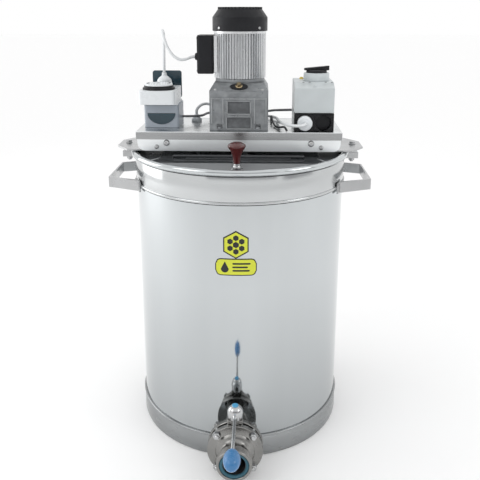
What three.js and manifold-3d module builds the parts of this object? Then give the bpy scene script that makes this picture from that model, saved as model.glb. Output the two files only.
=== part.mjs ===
// Motorised honey tank: an upright stainless drum with a geared stirrer on a
// bridge, a half lid, plug-in timer and switch boxes, and a butterfly outlet.
// Millimetres, +Z up, -Y is the outlet side, origin on the floor at the drum axis.

import * as THREE from 'three';
import { mergeVertices } from 'three/addons/utils/BufferGeometryUtils.js';
import Module from 'manifold-3d';

const wasm = await Module();
wasm.setup();

// ---- driving dimensions ----------------------------------------------------

const GAP = 0.3;                 // between neighbours that touch on the real thing
const ROUND = 48;                // facets round the drum

const TANK = { r: 250, wall: 3, top: 690, foot: 30, rimR: 6.6 };
const BASE = { r: 253, top: 55, plate: 3 };
const COLLAR = { r: 252.4, low: 613, high: 674.5, bead: 253.6 };
const HANDLE = { low: 602, high: 627, bar: 4, reach: 309, grip: 76, padR: 258 };
const LABEL = { low: 451, high: 562, width: 90 };

const BRIDGE = { x: 235, y: 100, top: 740, seam: 722, low: 694.7, sheet: 3 };
const EAR = { low: 690.4, high: 694.4, inner: 190, shoulder: 262, tip: 293, y: 77, tipY: 33 };
const CLAMP_X = 272;
const PANEL = { low: 678, high: 681, r: 244 };
const LID = { rearY: -106, rearX: 181, sideX: 199.9, hingeY: -104, hingeZ: 685 };
const KNOB = { y: -200, top: 738 };

const GEARBOX = { x: 67, front: -80, back: 82, low: 740.3, face: 831, top: 846, wall: 7 };
const GEARS = { pinion: 6, wheel: 33 };
const MOTOR = { r: 60.5, low: 854.3, high: 961, bore: 46 };
const FAN_COVER = { r: 64, low: 961.3, high: 1015 };

const STIRRER = { low: 52, high: 640, half: 205, bar: 20, shaft: 12.5 };

const VALVE = { y: -303, z: 66, bore: 25, pipe: 28, flange: 62, mouth: -368, bolt: 40 };
const LEVER = { z: 156, reach: -489 };

const SOCKET = { x0: -224, x1: -142, y0: -45, y1: 50, z0: 740.3, z1: 792 };
const TIMER = { x0: -233, x1: -148, y0: -65, y1: 61, z0: 796, z1: 828 };
const SWITCH = { x0: 126, x1: 216, y0: -85, y1: 30, z0: 740.3, z1: 850 };

// ---- finishes --------------------------------------------------------------

const paint = (color, roughness, metalness) =>
  new THREE.MeshStandardMaterial({ color, roughness, metalness });

const polishedSteel = paint(0xd3d6d8, 0.16, 1);
const brushedSteel = paint(0xb9bcbe, 0.32, 1);
const castAluminium = paint(0x7f8487, 0.5, 0.8);
const finAluminium = paint(0xa9adaf, 0.4, 0.9);
const blackPlastic = paint(0x2a2b2f, 0.5, 0);
const smokedAcrylic = paint(0x3f4144, 0.08, 0);
const greyPlastic = paint(0xa9b0b9, 0.45, 0);
const lightPlastic = paint(0xc8ced0, 0.45, 0);
const whitePlastic = paint(0xeef2f2, 0.4, 0);
const tealPlastic = paint(0x1f3744, 0.35, 0);
const maroonPlastic = paint(0x5a1a1c, 0.2, 0);
const bluePlastic = paint(0x4178a8, 0.35, 0);
const sealRubber = paint(0x2a5562, 0.7, 0);
const labelPrint = paint(0xd3d928, 0.45, 0);
const brass = paint(0xb08d4a, 0.35, 1);

// ---- making and joining solids ---------------------------------------------

// A closed three.js geometry as a solid that can be joined and cut.
function solid(geometry) {
  const bare = geometry.clone();
  bare.deleteAttribute('normal');
  bare.deleteAttribute('uv');
  const merged = mergeVertices(bare, 1e-4);
  const points = merged.attributes.position.array;
  const index = [];
  for (let i = 0; i < merged.index.count; i += 3) {
    const [a, b, c] = [0, 1, 2].map((k) => merged.index.getX(i + k));
    if (a !== b && b !== c && c !== a) {
      index.push(a, b, c);
    }
  }
  let volume = 0;
  for (let i = 0; i < index.length; i += 3) {
    const [a, b, c] = [0, 1, 2].map((k) =>
      new THREE.Vector3().fromArray(points, 3 * index[i + k]));
    volume += a.dot(b.cross(c));
  }
  if (volume < 0) {
    index.reverse();
  }
  return new wasm.Manifold(new wasm.Mesh({
    numProp: 3,
    vertProperties: Float32Array.from(points),
    triVerts: Uint32Array.from(index),
  }));
}

const box = (x0, x1, y0, y1, z0, z1) => solid(
  new THREE.BoxGeometry(x1 - x0, y1 - y0, z1 - z0)
    .translate((x0 + x1) / 2, (y0 + y1) / 2, (z0 + z1) / 2));

const outline = (points) => new THREE.Shape(points.map(([x, y]) => new THREE.Vector2(x, y)));

const extrude = (shape, depth, options = {}) => new THREE.ExtrudeGeometry(
  shape, { depth, bevelEnabled: false, curveSegments: 3, ...options });

// An outline in X and Y, raised between two heights.
const slabZ = (shape, z0, z1) => solid(extrude(shape, z1 - z0).translate(0, 0, z0));

// An outline in X and Z, drawn out between two values of Y.
const slabY = (shape, y0, y1) => solid(
  extrude(shape, y1 - y0).rotateX(Math.PI / 2).translate(0, y1, 0));

// An outline in Y and Z, drawn out between two values of X.
const slabX = (shape, x0, x1) => solid(
  extrude(shape, x1 - x0).rotateZ(Math.PI / 2).rotateY(Math.PI / 2).translate(x0, 0, 0));

// A profile of (radius, height) pairs turned about the Z axis.
const turned = (profile, sides = 16) => solid(new THREE.LatheGeometry(
  profile.map(([r, z]) => new THREE.Vector2(r, z)), sides).rotateX(Math.PI / 2));

const rod = (r, z0, z1, sides = 16) => turned([[0, z0], [r, z0], [r, z1], [0, z1]], sides);

const ring = (r0, r1, z0, z1, sides = 20) => turned(
  [[r0, z0], [r1, z0], [r1, z1], [r0, z1], [r0, z0]], sides);

const hexagon = (across, z0, z1) => rod(across / Math.sqrt(3), z0, z1, 6);

// Turns a Z-axis solid so that its top points along -Y.
const towardsFront = (piece) => piece.rotate([90, 0, 0]);

function roundedRectangle(x0, x1, y0, y1, r) {
  const shape = new THREE.Shape();
  shape.moveTo(x0 + r, y0);
  shape.lineTo(x1 - r, y0);
  shape.absarc(x1 - r, y0 + r, r, -Math.PI / 2, 0);
  shape.lineTo(x1, y1 - r);
  shape.absarc(x1 - r, y1 - r, r, 0, Math.PI / 2);
  shape.lineTo(x0 + r, y1);
  shape.absarc(x0 + r, y1 - r, r, Math.PI / 2, Math.PI);
  shape.lineTo(x0, y0 + r);
  shape.absarc(x0 + r, y0 + r, r, Math.PI, 1.5 * Math.PI);
  return shape;
}

const roundedBoxZ = (x0, x1, y0, y1, z0, z1, r) =>
  slabZ(roundedRectangle(x0, x1, y0, y1, r), z0, z1);

// A round cord along smooth points.
function cord(points, diameter, steps) {
  const path = new THREE.CatmullRomCurve3(points.map((p) => new THREE.Vector3(...p)), false,
    'centripetal');
  const section = new THREE.Shape();
  section.absarc(0, 0, diameter / 2, 0, 2 * Math.PI);
  return solid(extrude(section, 1, { extrudePath: path, steps, curveSegments: 4 }));
}

function arc(r, from, to, steps, cx = 0, cy = 0) {
  return Array.from({ length: steps + 1 }, (_, i) => {
    const a = from + (to - from) * i / steps;
    return [cx + r * Math.cos(a), cy + r * Math.sin(a)];
  });
}

const mirrored = (points) => [...points, ...points.map(([x, y]) => [x, -y]).reverse()];

const degrees = Math.PI / 180;

const group = new THREE.Group();

function place(name, piece, material) {
  const mesh = piece.getMesh();
  const geometry = new THREE.BufferGeometry();
  geometry.setAttribute('position', new THREE.BufferAttribute(mesh.vertProperties, 3));
  geometry.setIndex(new THREE.BufferAttribute(mesh.triVerts, 1));
  const part = new THREE.Mesh(geometry, material);
  part.name = name;
  group.add(part);
}

// ---- drum ------------------------------------------------------------------

function drum() {
  const inner = TANK.r - TANK.wall;
  const beadR = TANK.r + TANK.rimR - 0.2;
  const beadZ = TANK.top - TANK.rimR;
  const bead = arc(TANK.rimR, -120 * degrees, 105 * degrees, 5, beadR, beadZ);
  const wall = turned([[TANK.r, TANK.foot], [TANK.r, beadZ - 7], ...bead,
    [inner, beadZ + 2], [inner, TANK.foot], [TANK.r, TANK.foot]], ROUND);
  const outlet = towardsFront(rod(VALVE.bore, 200, 300)).translate([0, 0, VALVE.z]);
  place('tank_wall', wall.subtract(outlet), polishedSteel);

  const floorR = inner - GAP;
  place('tank_floor', turned([[0, 33], [floorR, 33], [floorR, 40], [floorR - 3, 40],
    [floorR - 3, 36], [0, 36]], ROUND), brushedSteel);

  const skin = BASE.r - TANK.r - GAP;
  const plinth = turned([[0, 0], [BASE.r, 0], [BASE.r, 49],
    [BASE.r + 1.6, 50.5], [BASE.r + 1.6, 53.5], [BASE.r, BASE.top],
    [BASE.r - skin, BASE.top], [BASE.r - skin, BASE.plate], [0, BASE.plate],
    [0, 0]], ROUND);
  const notchR = VALVE.pipe + 0.6;
  const notch = towardsFront(rod(notchR, 200, 300)).translate([0, 0, VALVE.z])
    .add(box(-notchR, notchR, -300, -200, VALVE.z, 80));
  place('base_ring', plinth.subtract(notch), brushedSteel);

  place('collar_band', turned([[TANK.r + GAP, COLLAR.low], [COLLAR.bead, COLLAR.low + 1.5],
    [COLLAR.bead, COLLAR.low + 5], [COLLAR.r, COLLAR.low + 6.5], [COLLAR.r, COLLAR.high - 1.5],
    [TANK.r + GAP, COLLAR.high], [TANK.r + GAP, COLLAR.low]], ROUND), polishedSteel);

  floorBearing();
}

function floorBearing() {
  place('floor_bearing', turned([[0, 36 + GAP], [26, 36 + GAP], [26, 39], [17, 40.5], [17, 51],
    [10.5, 51], [10.5, 42], [0, 42]], 16), whitePlastic);
}

// Flat bar bent outwards from the wall and back, with a flat pad at each foot.
function handle(name, side) {
  const at = (r, angle) => [r * Math.cos(angle * degrees), -r * Math.sin(angle * degrees)];
  const wallR = COLLAR.bead + 0.4;
  const half = [at(wallR, 19), at(HANDLE.padR, 19), at(HANDLE.padR, 22.6),
    [HANDLE.reach - HANDLE.bar, 3.5 - HANDLE.grip]];
  const outer = [at(wallR, 28), at(HANDLE.padR, 28), at(HANDLE.padR, 25),
    [HANDLE.reach, -HANDLE.grip]];
  const shape = outline([...mirrored(outer), ...mirrored([...half]).reverse()]);
  const bar = slabZ(shape, HANDLE.low, HANDLE.high);
  const fit = bar.subtract(rod(wallR, HANDLE.low - 1, HANDLE.high + 1, ROUND * 2));
  place(name, side > 0 ? fit : fit.rotate([0, 0, 180]), brushedSteel);
}

// A six-sided badge above a rounded plate, both laid on the drum wall.
function label() {
  const split = LABEL.low + 46;
  const wide = LABEL.width / 2;
  const badge = outline([[-31, split + 14], [-31, LABEL.high - 17], [0, LABEL.high],
    [31, LABEL.high - 17], [31, split + 14], [0, split - 8]]);
  const sheet = slabY(roundedRectangle(-wide, wide, LABEL.low, split, 16), -262, -230)
    .add(slabY(badge, -262, -230));
  const shell = ring(TANK.r + GAP, TANK.r + 1, LABEL.low - 5, LABEL.high + 5, ROUND * 2);
  place('label_plate', sheet.intersect(shell), labelPrint);
}

// ---- bridge ----------------------------------------------------------------

const BOLT_BAR = { y: 93.9, thick: 3, z0: 698, z1: 722, big: [165, 714], small: [188, 705] };

function bridge() {
  const { x, y, top, seam, low, sheet } = BRIDGE;
  const skirt = 2.5;
  const port = rod(36, low, top + 1);
  const cover = box(-x, x, -y, y, seam, top)
    .subtract(box(skirt - x, x - skirt, skirt - y, y - skirt, seam - 1, top - sheet));
  place('bridge_cover', cover.subtract(port), brushedSteel);

  const beamX = x - skirt - GAP;
  const beamY = y - skirt - GAP;
  const beamTop = top - sheet - GAP;
  const front = new THREE.Shape();
  const corner = 18;
  front.moveTo(-beamX + corner, low);
  front.lineTo(beamX - corner, low);
  front.absarc(beamX - corner, low + corner, corner, -Math.PI / 2, 0);
  front.lineTo(beamX, beamTop);
  front.lineTo(-beamX, beamTop);
  front.lineTo(-beamX, low + corner);
  front.absarc(-beamX + corner, low + corner, corner, Math.PI, 1.5 * Math.PI);
  let beam = slabY(front, -beamY, beamY)
    .subtract(box(sheet - beamX, beamX - sheet, sheet - beamY, beamY - sheet, low - 1,
      beamTop - sheet))
    .subtract(port);
  for (const side of [-1, 1]) {
    for (const [r, [boltX, boltZ]] of [[3.6, BOLT_BAR.big], [3, BOLT_BAR.small]]) {
      for (const end of [-1, 1]) {
        const hole = towardsFront(rod(r, 90, 102, 8)).translate([end * boltX, 0, boltZ]);
        beam = beam.subtract(side < 0 ? hole : hole.rotate([0, 0, 180]));
      }
    }
  }
  place('bridge_beam', beam, brushedSteel);
  boltBar('front_bolt_bar', 0);
  boltBar('rear_bolt_bar', 180);
}

// A tapped bar behind the beam's face, with its four bolts in it.
function boltBar(name, turn) {
  const { y, thick, z0, z1, big, small } = BOLT_BAR;
  let bar = box(-200, 200, -y, thick - y, z0, z1);
  for (const [r, head, [x, z]] of [[3.2, 7, big], [2.6, 5, small]]) {
    for (const end of [-1, 1]) {
      const bolt = rod(r, y - 1, 98, 8).add(turned([[0, 97.6], [head, 97.6], [head, 100],
        [head * 0.6, 102], [0, 102]], 8));
      bar = bar.add(towardsFront(bolt).translate([end * x, 0, z]));
    }
  }
  place(name, bar.rotate([0, 0, turn]), brushedSteel);
}

// A flat ear under each end of the beam, and the clamp that grips the rim bead.
function ear(side, turn) {
  const { low, high, inner, shoulder, tip, y, tipY } = EAR;
  const plate = slabZ(outline(mirrored([[inner, -y], [shoulder, -y], [tip, -tipY]])), low, high)
    .subtract(rod(4.6, low - 1, high + 1, 16).translate([CLAMP_X, 0, 0]));
  place(`ear_${side}`, plate.rotate([0, 0, turn]), brushedSteel);

  const jaw = box(254.4, 286, -14, 14, 662, 676.3);
  const screw = rod(4, 652, high + 1, 16).add(hexagon(13, high + GAP, high + 6.5))
    .add(rod(8.5, high + GAP, high + 1.5, 16)).add(hexagon(13, 655, 663))
    .translate([CLAMP_X, 0, 0]);
  place(`rim_clamp_${side}`, jaw.add(screw).rotate([0, 0, turn]), brushedSteel);
}

// ---- lid and panels --------------------------------------------------------

// Lid outline: straight back edge, slanted sides, round front.
function lidOutline() {
  const start = Math.asin(LID.sideX / PANEL.r);
  const front = arc(PANEL.r, -Math.PI / 2 + start, -Math.PI / 2 - start, 12);
  return outline([[LID.rearX, LID.rearY], ...front, [-LID.rearX, LID.rearY]]);
}

// The opening the lid sits in, wider by a margin and running out past the rim.
function lidOpening() {
  const margin = 1.5;
  const sideY = -Math.sqrt(PANEL.r ** 2 - LID.sideX ** 2);
  const slant = (LID.sideX - LID.rearX) / (LID.rearY - sideY);
  const rearX = LID.rearX + margin * 1.8;
  const rearY = LID.rearY + margin;
  const outY = sideY - 20;
  const outX = rearX + slant * (rearY - outY);
  return outline([[rearX, rearY], [outX, outY], [outX, -300], [-outX, -300], [-outX, outY],
    [-rearX, rearY]]);
}

function lids() {
  const { low, high, r } = PANEL;
  const cut = slabZ(lidOpening(), low - 1, high + 1);
  const disc = rod(r, low, high, ROUND);
  const centre = disc.subtract(cut).subtract(cut.rotate([0, 0, 180]))
    .subtract(rod(30, low - 1, high + 1));
  const lid = slabZ(lidOutline(), low, high);
  place('rear_panel', lid.rotate([0, 0, 180]), smokedAcrylic);
  place('front_lid', lid, smokedAcrylic);

  const { hingeY, hingeZ } = LID;
  const along = (r0, r1, x0, x1) => {
    const tube = r0 ? ring(r0, r1, x0, x1, 16) : rod(r1, x0, x1, 16);
    return tube.rotate([0, 90, 0]).translate([0, hingeY, hingeZ]);
  };
  const bearer = (x0, x1) => along(0, 3.4, x0, x1)
    .add(box(x0, x1, hingeY, -88, high + GAP, high + 1.8));
  const fixed = along(0, 1.6, -150, 150).add(bearer(-150, -120.4)).add(bearer(120.4, 150))
    .add(box(-150, 150, -92, -88, high + GAP, high + 1.8));
  place('centre_panel', centre, smokedAcrylic);
  place('lid_hinge_pin_leaf', fixed, brushedSteel);

  const leaf = box(-120, 120, -122, hingeY - 1.8, high + GAP, high + 1.8);
  const barrel = along(2.2, 3.4, -120, 120).add(leaf);
  place('lid_hinge_leaf', barrel, brushedSteel);

  const knobBase = turned([[0, high + GAP], [13, high + GAP], [13, high + 2], [8, high + 5],
    [7, high + 10], [0, high + 10]], 16).translate([0, KNOB.y, 0]);
  place('lid_knob_base', knobBase, polishedSteel);
  const z = high + 10 + GAP;
  const knob = turned([[0, z], [7.5, z], [8.5, z + 12], [12.5, z + 26], [19, KNOB.top - 10],
    [19.5, KNOB.top - 7], [17, KNOB.top - 3], [9, KNOB.top - 0.6], [0, KNOB.top]], 16)
    .translate([0, KNOB.y, 0]);
  place('lid_knob', knob, maroonPlastic);
}

// ---- gearbox and motor -----------------------------------------------------

function gearbox() {
  const { x, front, back, low, face, top, wall } = GEARBOX;
  const slope = 24;
  const side = slabX(outline([[front, low], [back, low], [back, face], [back - slope, top],
    [front + slope, top], [front, face]]), -x, x);
  const across = slabY(outline([[-x, low], [x, low], [x, face], [x - 9, top], [9 - x, top],
    [-x, face]]), front, back);
  const window = box(-25, 25, front - 1, front + 3, 779, 807);
  const lower = box(-27, 27, front - 1, front + 2.5, 744, 771);
  const strip = box(-42, 42, front - 2, front + 3, 818, 829.5);
  const hollow = box(wall - x, x - wall, front + wall, back - wall, low + wall, face - 3);
  let housing = side.intersect(across).add(strip).subtract(window).subtract(lower)
    .subtract(hollow)
    .subtract(rod(22, low - 1, low + wall + 1))
    .subtract(rod(12, face - 4, top + 1));
  const foot = { x0: 38, x1: 50, depth: 11, height: 15 };
  for (const end of [-1, 1]) {
    const [x0, x1] = [end * foot.x0, end * foot.x1].sort((a, b) => a - b);
    housing = housing.subtract(
      box(x0, x1, front - 1, front + foot.depth - 5, low + 4, low + foot.height));
    housing = housing.add(hexagon(9, low + 3.9, low + 9)
      .translate([end * 44, front + 1, 0]));
  }
  place('gearbox_housing', housing, castAluminium);

  const lean = Math.atan2(top - face, slope) / degrees;
  const washer = turned([[0, 0], [11, 0], [11, 2], [0, 2]], 16).scale([1.9, 1, 1]);
  const head = turned([[0, 1.9], [8, 1.9], [7.5, 9], [4, 11], [0, 11]], 16);
  place('oil_plug', washer.add(head).translate([0, 0, GAP]).rotate([lean, 0, 0])
    .translate([0, front + slope / 2, (face + top) / 2]), brass);

  gearTrain();
}

function gearTrain() {
  const { pinion, wheel } = GEARS;
  const centre = pinion + wheel;
  const layshaft = rod(5, 756, 827, 16).add(rod(wheel - 0.3, 812, 824))
    .add(rod(pinion - 0.2, 762, 800, 16)).translate([0, centre, 0]);
  place('layshaft_gears', layshaft, brushedSteel);

  const output = rod(wheel - 0.3, 770, 790).add(rod(14, 704, 780))
    .add(rod(24, 698, 712)).add(rod(19, 668, 700))
    .subtract(rod(STIRRER.shaft + GAP, 660, 696));
  place('output_shaft', output, brushedSteel);
}

function motor() {
  const { r, low, high, bore } = MOTOR;
  place('motor_end_shield', ring(10, 58, GEARBOX.top + GAP, low - GAP, 32), castAluminium);

  const finCount = 24;
  const points = [];
  for (let i = 0; i < finCount; i += 1) {
    const a = 2 * Math.PI * i / finCount;
    const step = 2 * Math.PI / finCount;
    for (const [radius, share] of [[r, 0.12], [r, 0.42], [r - 7, 0.56], [r - 7, 0.98]]) {
      points.push([radius * Math.cos(a + share * step), radius * Math.sin(a + share * step)]);
    }
  }
  const body = slabZ(outline(points), low, high).subtract(rod(bore, low + 8, high + 1))
    .subtract(rod(10, low - 1, low + 9, 16));
  const saddle = box(-60, -48, -26, 26, 868, 949);
  place('motor_body', body.add(saddle).subtract(rod(bore, low + 8, high + 1)),
    finAluminium);

  const wall = 2.4;
  const c = FAN_COVER;
  let cover = turned([[c.r - wall, c.low], [c.r, c.low], [c.r, 994], [c.r - 3, 998],
    [50, c.high], [0, c.high], [0, c.high - wall], [49, c.high - wall], [c.r - wall - 1, 993],
    [c.r - wall, c.low]], 24);
  const slots = 8;
  for (let i = 0; i < slots; i += 1) {
    const slot = box(16, 46, -3.5, 3.5, c.high - 6, c.high + 1).rotate([0, 0, 360 * i / slots]);
    cover = cover.subtract(slot);
  }
  place('fan_cover', cover, blackPlastic);

  const shaft = rod(5.5, 812, 1004, 16).add(rod(40, 872, 945))
    .add(rod(GEARS.pinion - 0.2, 808, 826, 16));
  place('motor_rotor', shaft, brushedSteel);

  let fan = ring(5.5 + GAP, 13, 974, 1000, 12);
  const blades = 6;
  for (let i = 0; i < blades; i += 1) {
    fan = fan.add(box(11, 54, -1.2, 1.2, 974, 996).rotate([0, 0, 60 * i]));
  }
  place('fan', fan.add(ring(12, 50, 972, 974.4, 16)), blackPlastic);

  const terminal = roundedBoxZ(-97, -61, -38, 38, 865, 952, 5)
    .subtract(box(-90, -60, -30, 30, 872, 945));
  const entry = towardsFront(ring(4.2, 10, 0, 8, 16)).rotate([0, 0, -90]);
  place('terminal_box', terminal.subtract(towardsFront(rod(4.2, -20, 20, 16))
    .rotate([0, 0, -90]).translate([-97, 0, 902])), blackPlastic);
  place('terminal_gland', entry.translate([-97 - GAP, 0, 902]), blackPlastic);
}

// ---- stirrer ---------------------------------------------------------------

function stirrer() {
  const { low, high, half, bar, shaft } = STIRRER;
  place('stirrer_shaft', rod(shaft, 60, 695.5).add(rod(9.8, 42.4, 61)), brushedSteel);

  const t = 4;
  const window = (x0, x1, z0, z1) => box(x0, x1, -t - 1, t + 1, z0, z1);
  const middle = (low + high) / 2;
  let frame = box(-half, half, -t, t, low, high);
  for (const [z0, z1] of [[low + bar, middle - bar / 2], [middle + bar / 2, high - bar]]) {
    frame = frame.subtract(window(-half + bar, -16, z0, z1));
    frame = frame.subtract(window(16, half - bar, z0, z1));
  }
  const sleeve = rod(19, low + 8, high);
  place('stirrer_frame', frame.add(sleeve).subtract(rod(shaft + GAP, low - 1, high + 1)),
    brushedSteel);
}

// ---- socket box, timer and its plug ----------------------------------------

function timerStack() {
  const s = SOCKET;
  const middle = (s.x0 + s.x1) / 2;
  const pin = { y: s.y1 + 13, z: s.z1, r: 3.4 };
  const acrossPin = (x0, x1) => rod(pin.r, x0, x1, 12).rotate([0, 90, 0])
    .translate([middle, pin.y, pin.z]);
  let holder = roundedBoxZ(s.x0, s.x1, s.y0, s.y1, s.z0, s.z1, 7);
  for (const [x0, x1] of [[-30, -20.5], [20.5, 30]]) {
    holder = holder.add(acrossPin(x0, x1)).add(box(middle + x0, middle + x1, s.y1 - 1, pin.y,
      pin.z - pin.r, pin.z + pin.r));
  }
  place('socket_box', holder, greyPlastic);

  const flap = slabY(roundedRectangle(middle - 36, middle + 36, 797, 864, 6),
    TIMER.y1 + 0.6, TIMER.y1 + 5);
  place('socket_flap', flap.add(acrossPin(-20, 20)).add(box(middle - 20, middle + 20,
    TIMER.y1 + 0.6, TIMER.y1 + 4, pin.z, 798)), tealPlastic);

  const t = TIMER;
  const body = roundedBoxZ(t.x0, t.x1, t.y0, t.y1, t.z0, t.z1, 9)
    .add(rod(17, s.z1 + GAP, t.z0 + 1, 24).translate([middle, 8, 0]));
  place('timer_body', body, whitePlastic);

  const dialX = (t.x0 + t.x1) / 2;
  const dialZ = t.z1 + GAP;
  place('timer_dial', turned([[0, dialZ], [38, dialZ], [38, dialZ + 4], [34.5, dialZ + 5],
    [34.5, dialZ + 9], [33, dialZ + 10], [31, dialZ + 14], [0, dialZ + 14]], 20)
    .translate([dialX, -24, 0]), whitePlastic);

  place('timer_plug', turned([[0, dialZ], [18.5, dialZ], [18.5, dialZ + 10], [15, dialZ + 22],
    [9, dialZ + 30], [4.6, dialZ + 33], [0, dialZ + 33]], 16).translate([-186, 36, 0]),
  whitePlastic);
}

// ---- switch box, its sockets and the plug in one of them -------------------

function switchUnit() {
  const s = SWITCH;
  const seam = 782;
  const notch = 25;
  const side = slabX(outline([[s.y0 + notch, s.z0], [s.y1, s.z0], [s.y1, s.z1],
    [s.y0 + 25, s.z1], [s.y0, s.z1 - 12], [s.y0, seam], [s.y0 + notch, seam]]), s.x0, s.x1);
  place('switch_box', side, lightPlastic);

  const plugX = 150;
  const emptyX = 192;
  const socketZ = 760;
  const recess = towardsFront(rod(17.5, 90, 110, 24));
  const block = box(s.x0, s.x1, s.y0 - 3, s.y0 + notch - GAP, s.z0, seam - GAP)
    .subtract(towardsFront(rod(17.5, 76, 110, 24)).translate([emptyX, 0, socketZ]))
    .subtract(recess.translate([plugX, 0, socketZ]).translate([0, 13.5, 0]));
  place('socket_block', block, blackPlastic);

  const plug = turned([[0, 77], [17, 77], [17, 96], [14.5, 100], [0, 100]], 16);
  place('link_plug', towardsFront(plug).translate([plugX, 0, socketZ]), whitePlastic);

  const top = s.z1 + GAP;
  place('switch_bezel', rod(30, top, top + 18).translate([178, -30, 0]), lightPlastic);
  const knobZ = top + 18 + GAP;
  const lever = slabZ(roundedRectangle(-30, 30, -9, 9, 7), knobZ + 5, knobZ + 16)
    .add(rod(24, knobZ, knobZ + 6));
  place('switch_knob', lever.translate([178, -30, 0]), blackPlastic);
}

// ---- outlet valve ----------------------------------------------------------

function valve() {
  const { y, z, bore, pipe, flange, mouth, bolt } = VALVE;
  const at = (piece) => towardsFront(piece).translate([0, 0, z]);
  const stemSlot = rod(7, z, z + 70, 16).translate([0, y, 0]);
  const corners = [[-1, -1], [1, -1], [1, 1], [-1, 1]].map(([a, b]) => [a * bolt, b * bolt]);

  let nozzle = turned([[bore, 240], [pipe, 240], [pipe, 284], [34, 288], [flange, 288],
    [flange, 299.7], [bore, 299.7], [bore, 240]], 24);
  for (const [x, dz] of corners) {
    const stud = rod(4.5, 295, 325, 8).add(hexagon(15, 318.4, 325.5))
      .add(hexagon(15, 280.5, 288.5));
    nozzle = nozzle.add(stud.translate([x, -dz, 0]));
  }
  nozzle = at(nozzle).subtract(rod(TANK.r + GAP, 0, 120, ROUND * 2)).subtract(stemSlot);
  place('valve_nozzle', nozzle, brushedSteel);

  let spout = turned([[bore, 306.3], [flange, 306.3], [flange, 318], [40, 318], [37, 324],
    [31, 330], [31, 345], [39, 349], [39, -mouth], [32.5, -mouth], [32.5, 362],
    [bore, 362], [bore, 306.3]], 24);
  for (const [x, dz] of corners) {
    spout = spout.subtract(rod(5.4, 300, 322, 8).translate([x, -dz, 0]));
  }
  place('valve_spout', at(spout).subtract(stemSlot), brushedSteel);
  place('spout_gasket', at(ring(25.4, 32.1, 362.3, 367, 24)), sealRubber);
  place('valve_seal', at(ring(bore + GAP, 45, 300, 306, 24)).subtract(stemSlot)
    .subtract(box(-7, 7, y - 5, y + 5, z + 20, z + 50)), sealRubber);

  const disc = rod(24, -2.5, 2.5, 20).rotate([0, 90, 0]).translate([0, y, z]);
  const stem = rod(6, z + 20, z + 76, 16).translate([0, y, 0]);
  place('valve_disc', disc.add(stem), polishedSteel);

  const neck = z + flange;
  const block = box(-17, 17, y - 13, y + 13, neck + 1.5, neck + 13)
    .subtract(rod(6.6, neck, neck + 20, 16).translate([0, y, 0]));
  place('stem_bearing', block, brushedSteel);

  const hubLow = z + 76 + GAP;
  const hub = turned([[0, hubLow], [17, hubLow], [17.5, hubLow + 14], [15, hubLow + 23],
    [9, hubLow + 28], [0, hubLow + 28]], 16).translate([0, y, 0]);
  const rise = LEVER.z - (hubLow + 10);
  const run = y - 12 - (LEVER.reach + 54);
  const lean = Math.atan2(rise, run) / degrees;
  const arm = towardsFront(rod(4.2, 0, Math.hypot(rise, run), 12)).rotate([-lean, 0, 0])
    .translate([0, y - 12, hubLow + 10]);
  place('valve_lever', hub.add(arm), polishedSteel);
  place('valve_cap', rod(7, hubLow + 28 + GAP, hubLow + 30.5, 20).translate([0, y, 0]),
    bluePlastic);

  const grip = turned([[0, 0], [8, 0], [15, 9], [17.5, 24], [16, 38], [10, 48], [0, 51]], 16);
  place('valve_grip', towardsFront(grip).rotate([-lean * 0.5, 0, 0])
    .translate([0, LEVER.reach + 53, LEVER.z + 1]), bluePlastic);
}

// ---- cords -----------------------------------------------------------------

const MOTOR_CORD = [[-105.6, 0, 902], [-116, 0, 900.5], [-128, 0, 896], [-142, 1, 895],
  [-156, 3, 902], [-169, 7, 917], [-179, 14, 938], [-185, 24, 955], [-187, 36, 961],
  [-187, 49, 952], [-187, 53, 936], [-187, 49, 918], [-186.3, 42, 900], [-186, 37.5, 880],
  [-186, 36, 861.7]];
const LINK_CORD = [[-141.5, 20, 757], [-130, 20.5, 756.8], [-112, 28, 756], [-96, 46, 755],
  [-84, 77, 756], [-66, 89, 757], [-20, 89.5, 757], [20, 89.5, 758], [64, 89, 760],
  [82, 77, 764], [93, 54, 768], [102, 36, 771], [112, 24, 773], [124.6, 19.5, 774]];
const PLUG_CORD = [[-110, 50, 758.2], [-109.5, 51, 768], [-102, 60, 777], [-92, 74, 780],
  [-80, 88, 777], [-62, 97, 771], [-30, 98, 763], [0, 98, 755], [30, 98, 750],
  [60, 97, 747], [80, 88, 746], [89, 68, 746], [92, 40, 747], [93, 10, 748],
  [94, -20, 751], [96, -50, 755], [100, -80, 758], [109, -106, 759], [124, -121, 759],
  [140, -121, 759], [148.5, -112, 760], [150, -101, 760]];
const BLACK_CORD = [[76, 58, 740.6], [76, 57, 748], [76.5, 50, 753], [77.5, 38, 753],
  [78.5, 15, 749], [81, -10, 745.5], [85, -38, 743.6], [91, -60, 744.5], [98, -76, 748],
  [105, -87, 749.5], [110, -91.5, 742]];

function cords() {
  place('motor_cord', cord(MOTOR_CORD, 7, 22), whitePlastic);
  place('plug_cord', cord(PLUG_CORD, 7, 34), whitePlastic);
  place('link_cord', cord(LINK_CORD, 6, 26), greyPlastic);
  place('sensor_cord', cord(BLACK_CORD, 5, 20), blackPlastic);
  place('plate_gland', turned([[0, 740.3], [13, 740.3], [13, 748], [8, 752], [5.5, 757.6],
    [0, 757.6]], 16).translate([-110, 50, 0]), whitePlastic);
}

// ---- assembly --------------------------------------------------------------

drum();
handle('handle_right', 1);
handle('handle_left', -1);
label();
bridge();
ear('right', 0);
ear('left', 180);
lids();
gearbox();
motor();
stirrer();
timerStack();
switchUnit();
valve();
cords();

export default group;
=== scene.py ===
"""Motorised honey tank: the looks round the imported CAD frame.

Sizes are in millimetres in the frame's axes (+Z up, -Y the outlet side) and become metres
in one place, place_mesh(). Each sub-part has its own function.
"""

import math

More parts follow.
